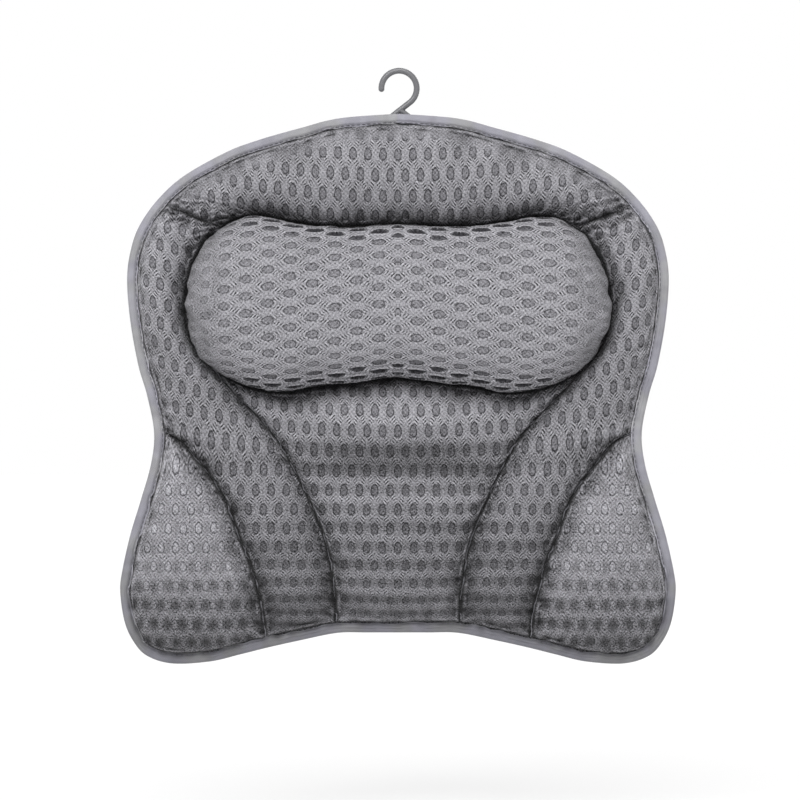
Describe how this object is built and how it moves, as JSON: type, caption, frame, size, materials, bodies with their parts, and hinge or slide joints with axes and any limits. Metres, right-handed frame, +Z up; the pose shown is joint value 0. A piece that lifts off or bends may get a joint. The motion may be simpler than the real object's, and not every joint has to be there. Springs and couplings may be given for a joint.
{
  "type": "bath pillow",
  "caption": "Butterfly-shaped bath pillow of quilted air mesh with a raised neck roll, bound edge, hanging hook and suction cups on its back.",
  "frame": {"origin": "centre of the middle suction cup's mouth, on the plane of the tub's wall", "axes": "+X to the right as seen from the front, +Y into the wall, +Z up towards the hanging hook"},
  "size_m": [0.3782, 0.0822, 0.4076],
  "materials": {
    "air_mesh": "thick knitted air mesh with oval holes, mid grey",
    "binding_tape": "smooth folded tape, pale lavender grey",
    "fibre_filling": "soft polyester fibre, off-white",
    "hook_plastic": "satin moulded grey plastic",
    "eyelet_plastic": "moulded grey plastic",
    "cup_plastic": "clear soft vinyl",
    "webbing": "narrow woven tape, grey"
  },
  "bodies": {
    "pillow": {"front_cover": "air_mesh", "back_cover": "air_mesh", "neck_roll_cover": "air_mesh", "edge_binding": "binding_tape", "upper_arch_pad": "fibre_filling", "centre_pad": "fibre_filling", "roll_base_pad": "fibre_filling", "right_side_pad": "fibre_filling", "right_wing_pad": "fibre_filling", "left_side_pad": "fibre_filling", "left_wing_pad": "fibre_filling", "neck_roll_filling": "fibre_filling", "hook_loop": "webbing", "cup_eyelet_centre": "eyelet_plastic", "cup_tab_centre": "webbing", "cup_eyelet_middle_right": "eyelet_plastic", "cup_tab_middle_right": "webbing", "cup_eyelet_middle_left": "eyelet_plastic", "cup_tab_middle_left": "webbing", "cup_eyelet_top_right": "eyelet_plastic", "cup_tab_top_right": "webbing", "cup_eyelet_top_left": "eyelet_plastic", "cup_tab_top_left": "webbing", "cup_eyelet_wing_right": "eyelet_plastic", "cup_tab_wing_right": "webbing", "cup_eyelet_wing_left": "eyelet_plastic", "cup_tab_wing_left": "webbing"},
    "hook": {"hanging_hook": "hook_plastic"},
    "cup_centre": {"suction_cup_centre": "cup_plastic"},
    "cup_middle_right": {"suction_cup_middle_right": "cup_plastic"},
    "cup_middle_left": {"suction_cup_middle_left": "cup_plastic"},
    "cup_top_right": {"suction_cup_top_right": "cup_plastic"},
    "cup_top_left": {"suction_cup_top_left": "cup_plastic"},
    "cup_wing_right": {"suction_cup_wing_right": "cup_plastic"},
    "cup_wing_left": {"suction_cup_wing_left": "cup_plastic"}
  },
  "joints": [
    {"name": "hook_swing", "type": "hinge", "parent": "pillow", "child": "hook", "pos_m": [0.00318, -0.0233, 0.123], "axis": [-1, 0, 0], "range_deg": [-10, 140]},
    {"name": "cup_centre_spin", "type": "hinge", "parent": "pillow", "child": "cup_centre", "pos_m": [0, 0, 0], "axis": [0, 1, 0], "continuous": true},
    {"name": "cup_middle_right_spin", "type": "hinge", "parent": "pillow", "child": "cup_middle_right", "pos_m": [0.1, 0, 0], "axis": [0, 1, 0], "continuous": true},
    {"name": "cup_middle_left_spin", "type": "hinge", "parent": "pillow", "child": "cup_middle_left", "pos_m": [-0.1, 0, 0], "axis": [0, 1, 0], "continuous": true},
    {"name": "cup_top_right_spin", "type": "hinge", "parent": "pillow", "child": "cup_top_right", "pos_m": [0.058, 0, 0.0915], "axis": [0, 1, 0], "continuous": true},
    {"name": "cup_top_left_spin", "type": "hinge", "parent": "pillow", "child": "cup_top_left", "pos_m": [-0.058, 0, 0.0915], "axis": [0, 1, 0], "continuous": true},
    {"name": "cup_wing_right_spin", "type": "hinge", "parent": "pillow", "child": "cup_wing_right", "pos_m": [0.142, 0, -0.1955], "axis": [0, 1, 0], "continuous": true},
    {"name": "cup_wing_left_spin", "type": "hinge", "parent": "pillow", "child": "cup_wing_left", "pos_m": [-0.142, 0, -0.1955], "axis": [0, 1, 0], "continuous": true}
  ]
}
